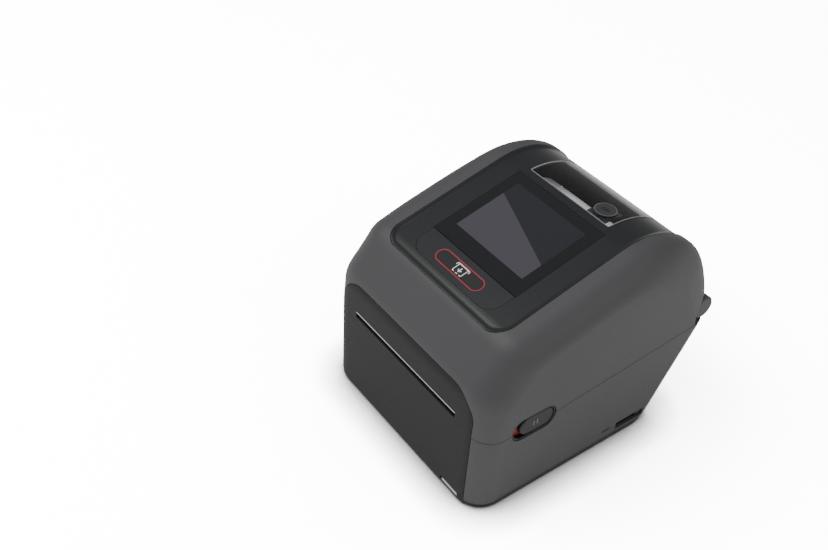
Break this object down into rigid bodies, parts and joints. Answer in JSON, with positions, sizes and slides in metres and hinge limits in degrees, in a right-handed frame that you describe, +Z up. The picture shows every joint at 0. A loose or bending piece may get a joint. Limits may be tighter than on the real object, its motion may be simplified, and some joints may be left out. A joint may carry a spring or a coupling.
{
  "type": "label_printer",
  "caption": "Desktop direct thermal label printer: dark grey clamshell body, sloping touch display with a red feed button, smoked window over the label roll, side latches and a front tear slot",
  "frame": {"origin": "on the table under the middle of the printer, in the middle of its overall length and width", "axes": "X to the right-hand side, Y to the rear with the label slot facing -Y, Z up"},
  "size_m": [0.179, 0.22, 0.1682],
  "materials": {
    "body_shell": "fine grained dark grey moulded plastic",
    "satin_panel": "smooth satin near-black inset panel",
    "dark_bezel": "fine grained charcoal plastic",
    "black_plastic": "plain black moulded plastic",
    "inner_plastic": "inner black moulding",
    "guide_plastic": "smooth dark grey moulding",
    "latch_plastic": "fine grained near-black plastic",
    "foot_rubber": "moulded rubber",
    "platen_rubber": "ground silicone rubber",
    "zinc_screw": "zinc plated steel",
    "bright_steel": "bright plated steel",
    "spring_steel": "drawn spring wire",
    "head_aluminium": "machined heat sink and ceramic edge",
    "motor_case": "black painted motor can",
    "brass_pinion": "cut brass",
    "bearing_nylon": "natural nylon",
    "gear_nylon": "natural nylon",
    "circuit_board": "solder masked board",
    "component_black": "moulded epoxy",
    "port_metal": "stamped plated shell",
    "display_glass": "dark tinted touch glass",
    "lcd_screen": "polarised screen, switched off",
    "window_glass": "smoked clear polycarbonate",
    "gloss_bar": "smooth near-black plastic",
    "red_ring": "red translucent ring",
    "red_button": "dark red button face",
    "red_accent": "red signal plate",
    "button_black": "plain black plastic",
    "label_paper": "coated white label stock on liner",
    "core_card": "wound card tube"
  },
  "bodies": {
    "base": {"base_case": "body_shell", "plinth": "black_plastic", "bottom_cover": "black_plastic", "case_screws": "zinc_screw", "rubber_feet": "foot_rubber", "front_bezel": "dark_bezel", "tear_bar": "bright_steel", "bezel_catch": "bright_steel", "media_tray": "inner_plastic", "guide_rod": "bright_steel", "platen_frame": "bright_steel", "platen_bushings": "bearing_nylon", "idler_post": "bright_steel", "stepper_motor": "motor_case", "label_guide_bar": "inner_plastic", "main_board": "circuit_board", "board_components": "component_black", "power_inlet": "component_black", "usb_device_port": "port_metal", "ethernet_port": "port_metal", "usb_host_port": "port_metal", "port_panel": "black_plastic", "side_shroud": "black_plastic", "hinge_pins": "dark_bezel", "latch_housings": "black_plastic", "latch_accents": "red_accent"},
    "cover": {"upper_cover": "body_shell", "top_panel": "satin_panel", "touch_glass": "display_glass", "control_bar": "gloss_bar", "feed_ring": "red_ring", "cover_liner": "inner_plastic", "liner_screws": "zinc_screw", "lcd_module": "lcd_screen", "display_board": "circuit_board", "button_board": "circuit_board", "window": "window_glass", "window_badge": "gloss_bar", "window_tab": "gloss_bar", "printhead_beam": "bright_steel", "printhead_pivot": "bright_steel", "cover_strikers": "bright_steel"},
    "head": {"printhead": "head_aluminium", "printhead_bracket": "bright_steel", "printhead_springs": "spring_steel"},
    "platen": {"platen_roller": "platen_rubber", "platen_shaft": "bright_steel", "platen_gear": "gear_nylon"},
    "idler": {"idler_gear": "gear_nylon"},
    "motor": {"motor_pinion": "brass_pinion"},
    "roll": {"label_roll": "label_paper", "roll_core": "core_card"},
    "guide_left": {"media_guide_left": "guide_plastic"},
    "guide_right": {"media_guide_right": "guide_plastic"},
    "latch_left": {"latch_slider_left": "latch_plastic", "latch_hook_left": "bright_steel"},
    "latch_right": {"latch_slider_right": "latch_plastic", "latch_hook_right": "bright_steel"},
    "power": {"power_button": "button_black"},
    "feed": {"feed_button": "red_button"}
  },
  "joints": [
    {"name": "cover_hinge", "type": "hinge", "parent": "base", "child": "cover", "pos_m": [0, 0.099, 0.092], "axis": [-1, 0, 0], "range_deg": [0, 72]},
    {"name": "latch_left_slide", "type": "slide", "parent": "base", "child": "latch_left", "axis": [0, -1, 0], "range_m": [0, 0.005], "stiffness_N_per_m": 300, "springref_m": -0.002},
    {"name": "latch_right_slide", "type": "slide", "parent": "base", "child": "latch_right", "axis": [0, -1, 0], "range_m": [0, 0.005], "stiffness_N_per_m": 300, "springref_m": -0.002},
    {"name": "feed_press", "type": "slide", "parent": "cover", "child": "feed", "axis": [0, 0.2533, -0.9674], "range_m": [0, 0.0006], "stiffness_N_per_m": 400, "springref_m": -0.001},
    {"name": "power_button_press", "type": "slide", "parent": "base", "child": "power", "axis": [-1, 0, 0], "range_m": [0, 0.001], "stiffness_N_per_m": 300, "springref_m": -0.001},
    {"name": "platen_spin", "type": "hinge", "parent": "base", "child": "platen", "pos_m": [0, -0.095, 0.07], "axis": [1, 0, 0], "continuous": true},
    {"name": "idler_spin", "type": "hinge", "parent": "base", "child": "idler", "pos_m": [0, -0.07636, 0.04778], "axis": [1, 0, 0], "continuous": true},
    {"name": "motor_spin", "type": "hinge", "parent": "base", "child": "motor", "pos_m": [0, -0.06963, 0.02267], "axis": [1, 0, 0], "continuous": true},
    {"name": "label_roll_spin", "type": "hinge", "parent": "base", "child": "roll", "pos_m": [0, 0.038, 0.0957], "axis": [1, 0, 0], "continuous": true},
    {"name": "guide_left_slide", "type": "slide", "parent": "base", "child": "guide_left", "axis": [-1, 0, 0], "range_m": [0, 0.008], "stiffness_N_per_m": 60, "springref_m": -0.01},
    {"name": "guide_right_slide", "type": "slide", "parent": "base", "child": "guide_right", "axis": [1, 0, 0], "range_m": [0, 0.008], "stiffness_N_per_m": 60, "springref_m": -0.01},
    {"name": "printhead_float", "type": "hinge", "parent": "cover", "child": "head", "pos_m": [0, -0.078, 0.092], "axis": [-1, 0, 0], "range_deg": [0, 4], "stiffness_Nm_per_rad": 3, "springref_deg": -6.88, "deforming": ["printhead_springs"]}
  ],
  "couplings": [
    {"joint": "idler_spin", "follows": "platen_spin", "ratio": -0.45},
    {"joint": "motor_spin", "follows": "platen_spin", "ratio": 1.5},
    {"joint": "guide_right_slide", "follows": "guide_left_slide", "ratio": 1}
  ]
}
